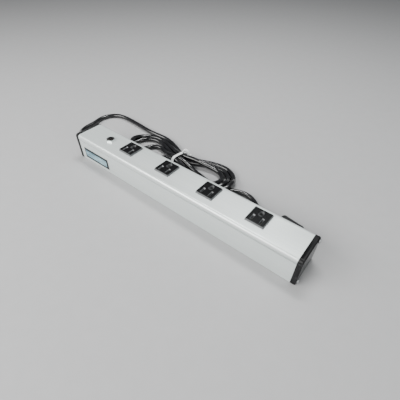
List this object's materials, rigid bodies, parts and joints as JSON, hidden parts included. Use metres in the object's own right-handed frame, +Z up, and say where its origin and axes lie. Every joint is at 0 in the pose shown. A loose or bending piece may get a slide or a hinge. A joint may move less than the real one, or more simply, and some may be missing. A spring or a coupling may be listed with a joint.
{
  "type": "desk power strip",
  "caption": "Long aluminium power strip with a row of three-hole receptacles, a push-to-reset breaker, black end caps and a folded mains cord tied behind it.",
  "frame": {"origin": "centre of the housing's underside, on the surface it stands on; the cord, its hank and plug lie behind and to the left of it", "axes": "+X along the strip away from the cord's exit, +Y to the back where the cord lies, +Z up through the receptacles"},
  "size_m": [0.4862, 0.1382, 0.0488],
  "materials": {
    "housing_aluminium": "satin anodised extrusion, drawn lengthwise",
    "cap_plastic": "black, polished end face",
    "face_plastic": "black moulded face",
    "bakelite": "dark brown moulding",
    "brass": "stamped strip",
    "steel": "plated screws and pin",
    "nut_chrome": "bright plated",
    "spring_steel": "wire",
    "bimetal": "bimetal strip",
    "cord_pvc": "black round jacket",
    "tie_plastic": "white plastic-covered wire",
    "plate_film": "printed film, blank",
    "black_wire": "insulated conductor",
    "white_wire": "insulated conductor",
    "green_wire": "insulated conductor"
  },
  "bodies": {
    "housing": {"top_cover": "housing_aluminium", "base_channel": "housing_aluminium", "end_cap_left": "cap_plastic", "end_cap_right": "cap_plastic", "cap_screw_left_upper": "steel", "cap_screw_left_lower": "steel", "cap_screw_right_upper": "steel", "cap_screw_right_lower": "steel", "receptacle_1_face": "face_plastic", "receptacle_1_rear_cover": "bakelite", "receptacle_1_hot_contact": "brass", "receptacle_1_neutral_contact": "brass", "receptacle_1_ground_contact": "brass", "receptacle_2_face": "face_plastic", "receptacle_2_rear_cover": "bakelite", "receptacle_2_hot_contact": "brass", "receptacle_2_neutral_contact": "brass", "receptacle_2_ground_contact": "brass", "receptacle_3_face": "face_plastic", "receptacle_3_rear_cover": "bakelite", "receptacle_3_hot_contact": "brass", "receptacle_3_neutral_contact": "brass", "receptacle_3_ground_contact": "brass", "receptacle_4_face": "face_plastic", "receptacle_4_rear_cover": "bakelite", "receptacle_4_hot_contact": "brass", "receptacle_4_neutral_contact": "brass", "receptacle_4_ground_contact": "brass", "breaker_case": "bakelite", "breaker_base": "bakelite", "breaker_nut": "nut_chrome", "reset_spring": "spring_steel", "contact_arm_pin": "steel", "line_terminal": "brass", "load_terminal": "brass", "hot_wire_in": "black_wire", "hot_bus_wire": "black_wire", "neutral_bus_wire": "white_wire", "ground_bus_wire": "green_wire", "ground_bond_wire": "green_wire", "cord_jacket_end": "cord_pvc", "ground_lug": "brass", "ground_screw": "steel", "name_plate": "plate_film", "strain_relief": "cap_plastic", "cord_lead": "cord_pvc", "cord_hank": "cord_pvc", "cord_tail": "cord_pvc", "cord_tie": "tie_plastic", "plug_body": "cord_pvc", "plug_hot_blade": "brass", "plug_neutral_blade": "brass", "plug_ground_pin": "brass"},
    "button": {"reset_button": "face_plastic"},
    "arm": {"contact_arm": "bimetal"}
  },
  "joints": [
    {"name": "reset_button_slide", "type": "slide", "parent": "housing", "child": "button", "axis": [0, 0, 1], "range_m": [0, 0.0035], "stiffness_N_per_m": 300, "deforming": ["reset_spring"]},
    {"name": "contact_arm_hinge", "type": "hinge", "parent": "housing", "child": "arm", "pos_m": [-0.1315, 0.001, 0.0291], "axis": [0, 1, 0], "range_deg": [0, 14]}
  ],
  "couplings": [
    {"joint": "contact_arm_hinge", "follows": "reset_button_slide", "rad_per_m": 69.8}
  ]
}
